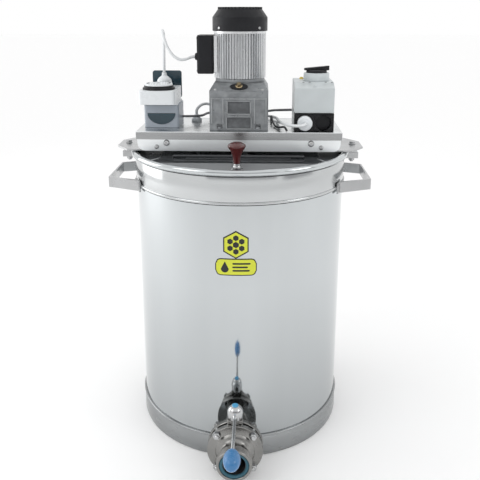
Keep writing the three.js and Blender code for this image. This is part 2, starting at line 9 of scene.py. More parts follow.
import bmesh
import bpy
from mathutils import Matrix, Vector


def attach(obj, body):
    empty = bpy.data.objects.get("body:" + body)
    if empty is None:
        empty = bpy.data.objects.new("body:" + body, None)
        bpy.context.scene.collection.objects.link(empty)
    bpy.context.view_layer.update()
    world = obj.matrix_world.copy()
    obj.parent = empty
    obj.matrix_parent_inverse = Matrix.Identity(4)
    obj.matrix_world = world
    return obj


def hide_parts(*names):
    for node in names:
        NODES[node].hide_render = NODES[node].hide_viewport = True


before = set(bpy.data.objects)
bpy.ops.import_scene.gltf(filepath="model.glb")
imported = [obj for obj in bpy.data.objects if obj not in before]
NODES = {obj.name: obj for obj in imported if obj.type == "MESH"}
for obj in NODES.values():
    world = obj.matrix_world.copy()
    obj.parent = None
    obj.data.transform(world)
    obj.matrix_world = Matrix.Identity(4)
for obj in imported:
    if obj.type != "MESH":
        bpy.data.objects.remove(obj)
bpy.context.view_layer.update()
MM = 0.001

# ---- camera, first, because the cords are measured against its view --------------------

CAMERA_DISTANCE = 1.50
CAMERA_HEIGHT = 1.00
CAMERA_PITCH = 15.1
CAMERA_AZIMUTH = 2.0
LENS_SHIFT = -0.12
SENSOR_WIDTH = 36.0
LENS = 46.95


def make_camera():
    data = bpy.data.cameras.new("camera")
    data.sensor_width = SENSOR_WIDTH
    data.lens = LENS
    data.shift_y = LENS_SHIFT
    data.clip_end = 50
    camera = bpy.data.objects.new("camera", data)
    bpy.context.scene.collection.objects.link(camera)
    turn = math.radians(CAMERA_AZIMUTH)
    camera.location = (CAMERA_DISTANCE * math.sin(turn), -CAMERA_DISTANCE * math.cos(turn),
                       CAMERA_HEIGHT)
    camera.rotation_euler = (math.radians(90 - CAMERA_PITCH), 0, turn)
    bpy.context.scene.camera = camera


# ---- materials -------------------------------------------------------------------------

# The drum wall's colour is deepened below SHADE_TOP, fully at SHADE_FOOT (metres above the
# floor). It stands in for the darker surroundings that a polished wall reflects low down;
# the steel itself is one colour.
SHADE_FOOT = 0.06
SHADE_TOP = 0.42


def material(name, colour, rough, metal=0.0, vary=0.06, grain=60.0, bump=0.05, stretch=(1, 1, 1),
             coat=0.0, rough_vary=0.25, marks=0.0, spec=0.5, low_shade=0.0):
    """A surface with its own small changes of colour and roughness, fine relief and faint marks."""
    m = bpy.data.materials.new(name)
    m.use_nodes = True
    tree = m.node_tree
    shader = tree.nodes["Principled BSDF"]
    shader.inputs["Metallic"].default_value = metal
    shader.inputs["Coat Weight"].default_value = coat
    shader.inputs["Specular IOR Level"].default_value = spec
    shader.inputs["Coat Roughness"].default_value = 0.08
    place = tree.nodes.new("ShaderNodeTexCoord")
    scale = tree.nodes.new("ShaderNodeMapping")
    scale.inputs["Scale"].default_value = stretch
    tree.links.new(place.outputs["Object"], scale.inputs["Vector"])

    def noise(size, detail):
        node = tree.nodes.new("ShaderNodeTexNoise")
        node.inputs["Scale"].default_value = size
        node.inputs["Detail"].default_value = detail
        tree.links.new(scale.outputs["Vector"], node.inputs["Vector"])
        return node.outputs["Fac"]

    def spread(source, low, high):
        node = tree.nodes.new("ShaderNodeMapRange")
        node.inputs["From Min"].default_value = 0.3
        node.inputs["From Max"].default_value = 0.7
        node.inputs["To Min"].default_value = low
        node.inputs["To Max"].default_value = high
        tree.links.new(source, node.inputs["Value"])
        return node.outputs["Result"]

    tint = tree.nodes.new("ShaderNodeMix")
    tint.data_type = "RGBA"
    tint.inputs["A"].default_value = [c * (1 - vary) for c in colour] + [1]
    tint.inputs["B"].default_value = [min(1, c * (1 + vary)) for c in colour] + [1]
    tree.links.new(spread(noise(grain * 0.12, 3), 0, 1), tint.inputs["Factor"])
    tree.links.new(tint.outputs["Result"], shader.inputs["Base Color"])
    if low_shade:
        height = tree.nodes.new("ShaderNodeSeparateXYZ")
        tree.links.new(place.outputs["Object"], height.inputs["Vector"])
        fade = spread(height.outputs["Z"], 1 - low_shade, 1)
        fade.node.inputs["From Min"].default_value = SHADE_FOOT
        fade.node.inputs["From Max"].default_value = SHADE_TOP
        shaded = tree.nodes.new("ShaderNodeVectorMath")
        shaded.operation = "SCALE"
        tree.links.new(tint.outputs["Result"], shaded.inputs["Vector"])
        tree.links.new(fade, shaded.inputs["Scale"])
        tree.links.new(shaded.outputs["Vector"], shader.inputs["Base Color"])
    rough_now = spread(noise(grain * 0.35, 4), rough * (1 - rough_vary), rough * (1 + rough_vary))
    if marks:
        streak = spread(noise(grain * 0.05, 6), -marks, marks)
        add = tree.nodes.new("ShaderNodeMath")
        add.operation = "ADD"
        add.use_clamp = True
        tree.links.new(rough_now, add.inputs[0])
        tree.links.new(streak, add.inputs[1])
        rough_now = add.outputs[0]
    tree.links.new(rough_now, shader.inputs["Roughness"])
    relief = tree.nodes.new("ShaderNodeBump")
    relief.inputs["Strength"].default_value = bump
    relief.inputs["Distance"].default_value = 0.0006
    tree.links.new(noise(grain * 6, 2), relief.inputs["Height"])
    tree.links.new(relief.outputs["Normal"], shader.inputs["Normal"])
    return m


M = {
    "polished": material("polished_steel_sheet", (0.565, 0.59, 0.60), 0.07, 1, 0.035, 26, 0.012,
                         (2.5, 2.5, 0.2), marks=0.05, low_shade=0.2),
    "collar": material("collar_steel", (0.56, 0.575, 0.58), 0.17, 1, 0.04, 40, 0.03, (1, 1, 3)),
    "base": material("base_steel", (0.33, 0.34, 0.345), 0.25, 1, 0.09, 40, 0.06, (1, 1, 4),
                     marks=0.04),
    "brushed_x": material("brushed_along", (0.66, 0.675, 0.68), 0.24, 1, 0.06, 50, 0.03,
                          (0.06, 3, 3), marks=0.05),
    # Bright steel for the bridge beam. Thin strips of it are also laid on as painted highlights
    # along the cover's bent top edges and the front lid's cut edges.
    "beam_and_painted_highlight": material("beam_steel_and_painted_highlight", (0.90, 0.925, 0.935), 0.36, 1, 0.04, 50, 0.02, (0.06, 3, 3)),
    # A darker copy of the brushed steel: painted shade on the cover's upright front and rear faces.
    "brushed_painted_shade": material("brushed_painted_shade", (0.38, 0.385, 0.39), 0.28, 1, 0.10, 50, 0.04,
                             (0.06, 3, 3), marks=0.05),
    "satin": material("satin_steel", (0.48, 0.485, 0.49), 0.30, 1, 0.08, 70, 0.08, marks=0.05),
    "cast_steel": material("bead_blasted_steel", (0.27, 0.267, 0.258), 0.25, 1, 0.10, 120, 0.25,
                           marks=0.06),
    "chrome": material("chrome", (0.50, 0.505, 0.51), 0.07, 1, 0.03, 60, 0.01),
    "cast": material("cast_aluminium", (0.27, 0.283, 0.293), 0.42, 0.6, 0.22, 420, 0.6,
                     marks=0.08),
    # A lighter copy of the cast aluminium: painted highlight on the gearbox ribs' edges.
    "cast_painted_highlight": material("cast_painted_highlight", (0.36, 0.375, 0.385), 0.36, 0.7, 0.2, 300, 0.4),
    # A darker copy of the cast aluminium: painted shade on the floors of the gearbox's recesses.
    "recess_painted_shade": material("cast_painted_shade", (0.15, 0.158, 0.165), 0.5, 0.4, 0.3, 420, 0.9),
    "fins": material("fin_aluminium", (0.70, 0.71, 0.72), 0.26, 0.95, 0.03, 40, 0.01, (3, 3, 0.3)),
    "black": material("black_plastic", (0.012, 0.0125, 0.015), 0.42, 0, 0.2, 220, 0.2, spec=0.25),
    "socket": material("socket_plastic", (0.005, 0.005, 0.007), 0.30, 0, 0.2, 200, 0.1, spec=0.3),
    # Near-black glossy sheet for the clear lid sheets and their hinge leaves: the darkness is
    # painted shade of the tank's inside.
    "lid_sheet_painted_shade": material("clear_sheet_painted_dark", (0.050, 0.053, 0.058), 0.03, 0, 0.05, 30, 0.004, coat=0.4,
                       marks=0.02),
    "grey": material("grey_plastic", (0.36, 0.40, 0.45), 0.38, 0, 0.05, 220, 0.15),
    "light": material("light_plastic", (0.56, 0.60, 0.61), 0.38, 0, 0.04, 220, 0.15),
    "white": material("white_plastic", (0.78, 0.81, 0.83), 0.32, 0, 0.03, 200, 0.08),
    "cord_white": material("white_cord", (0.74, 0.76, 0.77), 0.45, 0, 0.05, 200, 0.1),
    "cord_grey": material("grey_cord", (0.20, 0.20, 0.21), 0.45, 0, 0.1, 200, 0.1),
    "cord_black": material("black_cord", (0.03, 0.03, 0.035), 0.45, 0, 0.1, 200, 0.1),
    "teal": material("teal_plastic", (0.012, 0.040, 0.058), 0.22, 0, 0.1, 160, 0.06, coat=0.3),
    "maroon": material("maroon_phenolic", (0.075, 0.009, 0.009), 0.12, 0, 0.4, 90, 0.01,
                       coat=0.6),
    "blue": material("blue_plastic", (0.045, 0.19, 0.42), 0.28, 0, 0.08, 120, 0.06, coat=0.2),
    "cap": material("blue_cap", (0.08, 0.36, 0.62), 0.3, 0, 0.06, 120, 0.05),
    "rubber": material("blue_seal", (0.022, 0.10, 0.14), 0.55, 0, 0.15, 160, 0.2),
    # Near-black steel laid on as painted shade: a shadow line under the collar's lower bead and a
    # lining in the spout's bore. It also makes a thin ring on the collar's top edge.
    "bore": material("dark_painted_shade", (0.06, 0.06, 0.062), 0.5, 0.8, 0.2, 90, 0.1),
    "label": material("label_film", (0.66, 0.70, 0.035), 0.32, 0, 0.03, 60, 0.01, coat=0.2),
    "ink": material("label_ink", (0.012, 0.013, 0.012), 0.35, 0, 0.1, 60, 0.01),
    "brass": material("brass", (0.42, 0.34, 0.22), 0.2, 1, 0.08, 90, 0.05),
    "yellow": material("lamp_yellow", (0.75, 0.55, 0.10), 0.2, 0, 0.05, 90, 0.02, coat=0.5),
}

# ---- shapes: each gives (points, faces) in millimetres ----------------------------------


def lathe(profile, n=96, closed=False):
    """Turns (radius, height) pairs about Z. A radius of 0 makes a pole."""
    points, rows, faces = [], [], []
    for r, z in profile:
        if r < 1e-6:
            rows.append([len(points)] * n)
            points.append((0, 0, z))
        else:
            rows.append(list(range(len(points), len(points) + n)))
            points += [(r * math.cos(2 * math.pi * i / n), r * math.sin(2 * math.pi * i / n), z)
                       for i in range(n)]
    pairs = list(zip(rows, rows[1:])) + ([(rows[-1], rows[0])] if closed else [])
    for a, b in pairs:
        for i in range(n):
            j = (i + 1) % n
            ring = [a[i], a[j], b[j], b[i]]
            faces.append([p for k, p in enumerate(ring) if p not in ring[:k]])
    return points, [f for f in faces if len(f) > 2]


def prism(outline, z0, z1):
    n = len(outline)
    points = [(x, y, z0) for x, y in outline] + [(x, y, z1) for x, y in outline]
    sides = [[i, (i + 1) % n, n + (i + 1) % n, n + i] for i in range(n)]
    return points, [list(range(n))[::-1], list(range(n, 2 * n))] + sides


def box(x0, x1, y0, y1, z0, z1):
    return prism([(x0, y0), (x1, y0), (x1, y1), (x0, y1)], z0, z1)


def rounded(x0, x1, y0, y1, r, steps=6):
    out = []
    for cx, cy, start in ((x1 - r, y0 + r, -90), (x1 - r, y1 - r, 0), (x0 + r, y1 - r, 90),
                          (x0 + r, y0 + r, 180)):
        for i in range(steps + 1):
            a = math.radians(start + 90 * i / steps)
            out.append((cx + r * math.cos(a), cy + r * math.sin(a)))
    return out


def circle(r, n=32, cx=0, cy=0):
    return [(cx + r * math.cos(2 * math.pi * i / n), cy + r * math.sin(2 * math.pi * i / n))
            for i in range(n)]


def arc(r, start, end, steps, cx=0.0, cy=0.0):
    """Points on an arc, with angles in degrees."""
    spots = [math.radians(start + (end - start) * i / steps) for i in range(steps + 1)]
    return [(cx + r * math.cos(a), cy + r * math.sin(a)) for a in spots]


def moved(shape, at=(0, 0, 0), turn=(0, 0, 0), scale=(1, 1, 1)):
    """The shape scaled, turned about X, Y and Z in degrees, then shifted."""
    spin = Matrix.Identity(4)
    for axis, angle in zip("XYZ", turn):
        spin = Matrix.Rotation(math.radians(angle), 4, axis) @ spin
    points = [tuple(spin @ Vector([c * s for c, s in zip(p, scale)]) + Vector(at))
              for p in shape[0]]
    return points, shape[1]


def joined(*shapes):
    points, faces = [], []
    for p, f in shapes:
        faces += [[i + len(points) for i in face] for face in f]
        points += p
    return points, faces


def forward(shape, y, z, x=0.0):
    """A shape made up the Z axis, turned to point out along -Y."""
    return moved(shape, at=(x, y, z), turn=(90, 0, 0))


# ---- placing -----------------------------------------------------------------------------


def place_mesh(name, shape, look, body, replaces=(), bevel=0.0, smooth=40):
    mesh = bpy.data.meshes.new(name)
    mesh.from_pydata([[c * MM for c in p] for p in shape[0]], [], shape[1])
    mesh.validate()
    work = bmesh.new()
    work.from_mesh(mesh)
    bmesh.ops.recalc_face_normals(work, faces=work.faces)
    work.to_mesh(mesh)
    work.free()
    mesh.materials.append(M[look])
    mesh.shade_smooth()
    mesh.set_sharp_from_angle(angle=math.radians(smooth))
    piece = bpy.data.objects.new(name, mesh)
    bpy.context.scene.collection.objects.link(piece)
    if bevel:
        round_edges(piece, bevel)
    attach(piece, body)
    if replaces:
        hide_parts(*replaces)
    return piece


def round_edges(piece, width, segments=2):
    bevel = piece.modifiers.new("soft_edges", "BEVEL")
    bevel.width = width * MM
    bevel.segments = segments
    bevel.limit_method = "ANGLE"
    bevel.angle_limit = math.radians(35)
    bevel.harden_normals = False


def dress(node, look, bevel=0.0):
    """Keeps a CAD node as it is, with a better surface and softened edges."""
    piece = NODES[node]
    piece.data.materials.clear()
    piece.data.materials.append(M[look])
    if bevel:
        weld = piece.modifiers.new("weld", "WELD")
        weld.merge_threshold = 0.00002
        round_edges(piece, bevel)


def screw_head(r, height, slot_depth=0.5):
    """A domed screw head with a hexagon socket look: a low dome with a sunk centre."""
    return lathe([(0, height - 2 * slot_depth), (r * 0.42, height - 2 * slot_depth),
                  (r * 0.45, height), (r * 0.7, height * 0.98), (r * 0.95, height * 0.6),
                  (r, height * 0.2), (r, 0), (0, 0)], 24)


def hex_head(across, height):
    ring = circle(across / math.sqrt(3), 6)
    return joined(prism(ring, 0, height), lathe([(0, height), (across * 0.38, height),
                  (across * 0.36, height + 0.6), (0, height + 0.6)], 24))


# ---- drum --------------------------------------------------------------------------------

TANK_R, WALL, TOP, RIM_R = 250.0, 3.0, 690.0, 6.6
OUTLET_Z = 66.0


def drum():
    bead_r, bead_z = TANK_R + RIM_R - 0.2, TOP - RIM_R
    bead = arc(RIM_R, -120, 105, 20, bead_r, bead_z)
    inner = TANK_R - WALL
    levels = [30, 120, 250, 400, 520, bead_z - 9, bead_z - 7.5]
    outside = [(TANK_R, z) for z in levels]
    inside = [(inner, bead_z + 2), (inner, 400), (inner, 120), (inner, 30)]
    wall = place_mesh("tank_wall_sheet", lathe(outside + bead + inside, 192, closed=True),
                      "polished", "frame", ["tank_wall"])
    cut_round_hole(wall, 25.2)

    place_mesh("tank_floor_dish", lathe([(0, 33.2)] + [(246.4, 33.2), (246.4, 39.8),
                       (243.8, 39.8), (243.2, 37)] + [(0, 36)], 128), "satin", "frame",
                       ["tank_floor"])
    ring = [(0, 0.2)] + arc(1.5, -90, 0, 4, 251.4, 1.7) + [(252.9, 49)]
    ring += arc(2.6, -75, 75, 8, 252.0, 52) + [(250.9, 54.8), (250.4, 54.8), (250.4, 3), (0, 3)]
    plinth = place_mesh("base_ring_sheet", lathe(ring, 160), "base", "frame",
                        ["base_ring"])
    cut_round_hole(plinth, 28.8, up_to=70)

    collar = [(250.3, 612.8)] + arc(3.2, -80, 80, 10, 251.2, 616) + [(252.0, 619.8),
              (252.3, 672.8), (251.6, 674.3), (250.3, 674.3)]
    place_mesh("collar_sheet", lathe(collar, 160, closed=True), "collar", "frame",
               ["collar_band"])
    # Painted shadow: a thin dark ring just under the collar's lower bead. A second dark ring runs
    # along the collar's top edge.
    shade = [(250.2, 611.2), (250.9, 611.2), (250.9, 612.6), (250.2, 612.6)]
    place_mesh("collar_painted_shadow_line", lathe(shade, 128, closed=True), "bore", "frame")
    lip = [(252.2, 673), (253.0, 673), (253.0, 674.6), (252.2, 674.6)]
    place_mesh("collar_top_edge", lathe(lip, 128, closed=True), "bore", "frame")
    seam_line(252.5, 24, 620, 672)
    bearing = [(0, 36.4), (25.8, 36.4), (25.8, 38.8), (17, 40.3), (17, 50.5), (16.5, 50.9),
               (10.6, 50.9), (10.6, 42), (0, 42)]
    place_mesh("floor_bearing_cup", lathe(bearing, 48), "white", "frame", ["floor_bearing"])


def cut_round_hole(piece, r, up_to=None):
    """Cuts the outlet's round hole, and the slot above it where the sheet ends low."""
    cutter = forward(lathe([(0, 200), (r, 200), (r, 300), (0, 300)], 64), 0, OUTLET_Z)
    if up_to:
        cutter = joined(cutter, box(-r, r, -300, -200, OUTLET_Z, up_to))
    mesh = bpy.data.meshes.new("cutter")
    mesh.from_pydata([[c * MM for c in p] for p in cutter[0]], [], cutter[1])
    tool = bpy.data.objects.new("cutter", mesh)
    bpy.context.scene.collection.objects.link(tool)
    cut = piece.modifiers.new("outlet", "BOOLEAN")
    cut.operation = "DIFFERENCE"
    cut.solver = "EXACT"
    cut.use_self = True
    cut.object = tool
    apply_modifiers(piece)
    bpy.data.objects.remove(tool)


def apply_modifiers(piece):
    bpy.context.view_layer.update()
    graph = bpy.context.evaluated_depsgraph_get()
    made = bpy.data.meshes.new_from_object(piece.evaluated_get(graph))
    piece.modifiers.clear()
    piece.data = made


def seam_line(r, azimuth, z0, z1):
    """The upright weld bead where the collar's ends meet, at the back of the drum."""
    a = math.radians(90 + azimuth)
    place_mesh("collar_weld", moved(box(-1.2, 1.2, -0.5, 0.5, z0, z1),
               at=(r * math.cos(a), r * math.sin(a), 0), turn=(0, 0, azimuth)), "satin", "frame",
               bevel=0.4)


def handles():
    for side in ("left", "right"):
        dress(f"handle_{side}", "satin", 0.9)
        sign = 1 if side == "right" else -1
        for end in (-1, 1):
            for z in (608, 621):
                a = math.radians(25.7 * end)
                spot = (sign * 258.2 * math.cos(a), 258.2 * math.sin(a), z)
                weld = moved(lathe([(0, 1.6), (1.6, 1.2), (2.4, 0), (0, 0)], 16), at=spot,
                             turn=(0, 90 * sign, sign * math.degrees(a)))
                place_mesh(f"handle_rivet_{side}_{end + 1}_{z}", weld, "satin", "frame")


# ---- label -------------------------------------------------------------------------------


def on_wall(shape, lift):
    """Bends a flat shape in X and Z, thickness along Y, round the drum's wall."""
    points = []
    for x, y, z in shape[0]:
        r = TANK_R + lift + y
        a = x / TANK_R
        points.append((r * math.sin(a), -r * math.cos(a), z))
    return points, shape[1]


def label_sheet(outline, thick):
    """A thin sheet from an outline, sliced fine enough across to bend round the wall."""
    xs = [p[0] for p in outline]
    lo, hi = min(xs), max(xs)
    count = 24
    columns = [lo + (hi - lo) * i / count for i in range(count + 1)]
    points, faces = [], []
    for x in columns:
        probe = min(max(x + 0.003, lo + 0.01), hi - 0.01)
        zs = []
        for (x0, z0), (x1, z1) in zip(outline, outline[1:] + outline[:1]):
            if (x0 - probe) * (x1 - probe) < 0:
                zs.append(z0 + (z1 - z0) * (probe - x0) / (x1 - x0))
        low, high = min(zs), max(zs)
        points += [(x, 0, low), (x, 0, high), (x, thick, high), (x, thick, low)]
    for i in range(count):
        a, b = 4 * i, 4 * i + 4
        for k in range(4):
            j = (k + 1) % 4
            faces.append([a + k, b + k, b + j, a + j])
    faces += [[0, 1, 2, 3], [4 * count + k for k in (3, 2, 1, 0)]]
    return points, faces


def six_sided(r, z):
    """A hexagon standing on a corner."""
    return [(r * math.sin(math.radians(60 * i)), z + r * math.cos(math.radians(60 * i)))
            for i in range(6)]


def label():
    badge_z, plate_z = 525.0, 474.0
    plate = rounded(-45, 45, plate_z - 19.5, plate_z + 19.5, 12)
    ink = joined(on_wall(label_sheet(six_sided(31.5, badge_z), 0.25), 0.45),
                 on_wall(label_sheet(plate, 0.25), 0.45))
    place_mesh("label_border", ink, "ink", "frame", ["label_plate"])
    inner = rounded(-42.8, 42.8, plate_z - 17.3, plate_z + 17.3, 10)
    film = joined(on_wall(label_sheet(six_sided(28.3, badge_z), 0.2), 0.62),
                  on_wall(label_sheet(inner, 0.2), 0.62))
    place_mesh("label_film_sheet", film, "label", "frame")
    cells = []
    for i, (cx, cz) in enumerate([(0, 0), (13.5, 7.8), (-13.5, 7.8), (13.5, -7.8),
                                  (-13.5, -7.8), (0, 15.6), (0, -15.6)]):
        size = 6.6 if i else 7.2
        cell_z = badge_z + cz * 0.98 + (0 if cx else 0.01)
        cell = [(x + cx * 0.92, z) for x, z in six_sided(size, cell_z)]
        cells.append(on_wall(label_sheet(cell, 0.15), 0.78))
    drop = [(x - 24, z) for x, z in droplet(8.5, 17, plate_z)]
    cells.append(on_wall(label_sheet(drop, 0.15), 0.78))
    for row, (x0, x1) in enumerate([(-8, 32), (-8, 26), (-8, 30)]):
        z = plate_z + 8 - 8 * row
        cells.append(on_wall(label_sheet(rounded(x0, x1, z - 1.9, z + 1.9, 1.8), 0.15), 0.78))
    place_mesh("label_marks", joined(*cells), "ink", "frame")


def droplet(r, tall, z):
    """A plain drop: a half circle below, drawn up to a point."""
    low = [(r * math.cos(math.radians(a)), z - 4 + r * math.sin(math.radians(a)))
           for a in range(180, 361, 20)]
    return low + [(r * 0.6, z + 3), (0, z - 4 + tall), (-r * 0.6, z + 3)]


# ---- bridge ------------------------------------------------------------------------------


def bridge():
    dress("bridge_cover", "brushed_x", 0.9)
    dress("bridge_beam", "beam_and_painted_highlight", 0.9)
    for side, sign in (("front", -1), ("rear", 1)):
        # Painted shade: a dark sheet over the cover's upright face.
        low, high = sorted((sign * 100.1, sign * 100.9))
        place_mesh(f"cover_lip_painted_shade_{side}", box(-234.4, 234.4, low, high, 722.6, 738.2),
                   "brushed_painted_shade", "frame", bevel=0.3)
        # Painted highlight: a bright strip along the cover's bent top edge.
        low, high = sorted((sign * 97.6, sign * 100.5))
        place_mesh(f"cover_painted_highlight_edge_{side}", box(-234, 234, low, high, 739.2, 740.25), "beam_and_painted_highlight",
                   "frame")
    for side in ("left", "right"):
        dress(f"ear_{side}", "satin", 0.6)
        dress(f"rim_clamp_{side}", "satin", 0.5)
    for side, sign in (("front", -1), ("rear", 1)):
        NODES[f"{side}_bolt_bar"].data.materials.clear()
        NODES[f"{side}_bolt_bar"].data.materials.append(M["satin"])
        for x, z, r in ((165, 714, 7.4), (188, 705, 5.4)):
            for end in (-1, 1):
                head = moved(screw_head(r, 5.2, 0.9), at=(end * x, sign * 97.4, z),
                             turn=(-90 * sign, 0, 0))
                place_mesh(f"{side}_bolt_head_{x}_{end + 1}", head, "chrome", "frame")


def lids():
    # Painted shade: the clear lid sheets are drawn near-black, for the shaded inside of the tank.
    dress("front_lid", "lid_sheet_painted_shade", 0.5)
    dress("rear_panel", "lid_sheet_painted_shade", 0.5)
    dress("centre_panel", "lid_sheet_painted_shade", 0.5)
    dress("lid_hinge_leaf", "lid_sheet_painted_shade", 0.3)
    dress("lid_hinge_pin_leaf", "lid_sheet_painted_shade", 0.3)
    for end in (-1, 1):
        # Painted highlight: a thin bright strip along each cut edge of the front lid.
        strip = [(end * 178.5, -107), (end * 180.8, -107), (end * 199.2, -139), (end * 196.9, -139)]
        place_mesh(f"lid_painted_highlight_edge_{end + 1}", prism(strip[::end], 681.05, 681.9), "beam_and_painted_highlight", "front_lid")
    y, low = -200, 681.3
    base = [(0, low), (13, low), (13, low + 1.4)] + arc(4.5, -90, -178, 5, 12.4, low + 6.2)
    base += [(7.2, low + 9.7), (0, low + 9.7)]
    place_mesh("lid_knob_ferrule", moved(lathe(base, 48), at=(0, y, 0)), "chrome", "front_lid",
               ["lid_knob_base"])
    z = low + 10
    body = [(0, z), (7.2, z), (7.6, z + 4), (8.4, z + 12), (10, z + 19), (12.8, z + 26),
            (16.6, z + 32), (18.8, z + 35.4)] + arc(3.2, -20, 70, 6, 16.3, 729.5)
    body += [(14.5, 734.6), (10.5, 736.6), (5.5, 737.6), (0, 737.9)]
    place_mesh("lid_knob_body", moved(lathe(body, 64), at=(0, y, 0)), "maroon", "front_lid",
               ["lid_knob"])


# ---- gearbox and motor -------------------------------------------------------------------

BOX_FRONT, BOX_FACE, BOX_TOP = -80.0, 831.0, 846.0


def gearbox():
    dress("gearbox_housing", "cast", 1.6)
    lean = math.degrees(math.atan2(BOX_TOP - BOX_FACE, 24))
    washer = moved(lathe([(0, 0), (10.8, 0), (10.8, 1.4), (10.2, 2), (0, 2)], 48),
                   scale=(1.9, 1, 1))
    plug = joined(lathe([(0, 1.9), (8.2, 1.9), (8.2, 3.2), (6.4, 3.8), (6.2, 4), (0, 4)], 40),
                  moved(hex_head(9.5, 5.5), at=(0, 0, 4)))
    spot = (0, BOX_FRONT + 12, (BOX_FACE + BOX_TOP) / 2)
    place_mesh("oil_plug_washer", moved(moved(washer, at=(0, 0, 0.4)), at=spot,
               turn=(lean, 0, 0)), "black", "frame")
    place_mesh("oil_plug_head", moved(moved(plug, at=(0, 0, 0.4)), at=spot, turn=(lean, 0, 0)),
               "brass", "frame", ["oil_plug"])
    for end in (-1, 1):
        for y in (BOX_FRONT + 6, 70):
            foot = moved(hex_head(9, 4), at=(end * 60, y, BOX_FACE - 0.5))
            place_mesh(f"lid_screw_{end + 1}_{int(y) + 100}", moved(foot, at=(-end * 6, 0, 0)),
                       "satin", "frame")
    frames = []
    for x0, x1, z0, z1 in ((-27.5, 27.5, 777, 809), (-29.5, 29.5, 743, 773)):
        frames += [box(x0, x1, -81.8, -79.9, z0, z0 + 2.4), box(x0, x1, -81.8, -79.9, z1 - 2.4, z1),
                   box(x0, x0 + 2.4, -81.8, -79.9, z0, z1), box(x1 - 2.4, x1, -81.8, -79.9, z0, z1)]
    for x in (-62, -36, 36, 62):
        frames.append(box(x - 1.6, x + 1.6, -82.4, -79.9, 756.5, 815))
    frames.append(box(-64, 64, -82.2, -79.9, 811.5, 814.5))
    # The ribs take a lighter cast: painted highlight on their edges.
    place_mesh("gearbox_ribs", joined(*frames), "cast_painted_highlight", "frame",
               bevel=0.5)
    # Painted shade: thin dark sheets on the two recess floors.
    floor = joined(box(-24.8, 24.8, -77.3, -76.9, 779.2, 806.8),
                   box(-26.8, 26.8, -77.8, -77.4, 744.2, 770.8))
    place_mesh("gearbox_recess_painted_shade", floor, "recess_painted_shade", "frame")
    dress("layshaft_gears", "satin")
    dress("output_shaft", "satin")


MOTOR_R, MOTOR_LOW, MOTOR_HIGH = 60.5, 854.3, 961.0


def fin_outline(count=52, deep=7.5):
    """Round case with upright fins: narrow ribs with rounded tips, wider troughs."""
    out = []
    step = 360 / count
    for i in range(count):
        for share, r in ((0.05, MOTOR_R - deep), (0.16, MOTOR_R - 1.2), (0.24, MOTOR_R),
                         (0.32, MOTOR_R), (0.40, MOTOR_R - 1.2), (0.51, MOTOR_R - deep),
                         (0.78, MOTOR_R - deep - 0.6)):
            a = math.radians((i + share) * step)
            out.append((r * math.cos(a), r * math.sin(a)))
    return out


def motor():
    shield = [(10.5, 846.4), (57.5, 846.4), (57.8, 848), (57.8, 852.4), (57, 853.8), (10.5, 853.8)]
    place_mesh("motor_flange", lathe(shield, 80, closed=True), "cast", "frame",
               ["motor_end_shield"])
    outline = fin_outline()
    n = len(outline)
    inner = circle(46.5, n)
    rows = [(outline, MOTOR_LOW + 0.2), (outline, MOTOR_HIGH - 0.4), (inner, MOTOR_HIGH - 0.4),
            (inner, MOTOR_LOW + 0.2)]
    points = [(x, y, z) for ring, z in rows for x, y in ring]
    faces = []
    for k in range(4):
        a, b = k * n, ((k + 1) % 4) * n
        faces += [[a + i, a + (i + 1) % n, b + (i + 1) % n, b + i] for i in range(n)]
    place_mesh("motor_fins", (points, faces), "fins", "frame", ["motor_body"],
               smooth=35)
    saddle = box(-60.4, -50, -28, 28, 866, 951)
    place_mesh("terminal_saddle", saddle, "fins", "frame", bevel=1.2)
    band = lathe([(58.6, MOTOR_HIGH - 5), (61.2, MOTOR_HIGH - 5), (61.2, MOTOR_HIGH),
                  (58.6, MOTOR_HIGH)], 80, closed=True)
    place_mesh("motor_top_ring", band, "fins", "frame")
    fan_cover()
    dress("motor_rotor", "satin")
    dress("fan", "black")
    terminal_box()


def fan_cover():
    r, low, high = 64.0, 961.3, 1015.0
    shell = [(r - 2.2, low), (r - 0.3, low), (r, low + 1.5), (r, 990)]
    shell += arc(6, 0, 42, 6, r - 6, 990)
    shell += [(50.5, high - 4.5), (48.6, high - 2.6), (47, high - 2.2), (46.4, high - 4),
              (48, high - 6.2), (r - 5, 992.5), (r - 2.4, 988)]
    place_mesh("fan_cowl", lathe(shell, 96, closed=True), "black", "frame", ["fan_cover"])
    bars = []
    for i in range(32):
        rib = moved(box(11, 48.3, -1.15, 1.15, high - 5.4, high - 0.8), turn=(0, 0, i * 360 / 32))
        bars.append(rib)
    for r0, r1 in ((9, 13), (22, 24.4), (33.5, 35.9)):
        bars.append(lathe([(r0, high - 5.2), (r1, high - 5.2), (r1, high - 0.6),
                           (r0, high - 0.6)], 64, closed=True))
    bars.append(lathe([(0, high - 5), (9.2, high - 5), (9.2, high - 0.4), (0, high)], 48))
    for i in range(36):
        bars.append(moved(box(45, 51.4, -1.3, 1.3, high - 7, high - 0.6), turn=(0, 0, i * 10)))
    place_mesh("fan_grille", joined(*bars), "black", "frame", bevel=0.25)
    for i in range(4):
        a = 45 + 90 * i
        spot = (r * math.cos(math.radians(a)), r * math.sin(math.radians(a)), low + 7)
        head = moved(screw_head(3.4, 2.2, 0.4), turn=(0, 90, a), at=spot)
        place_mesh(f"cowl_screw_{i}", head, "chrome", "frame")


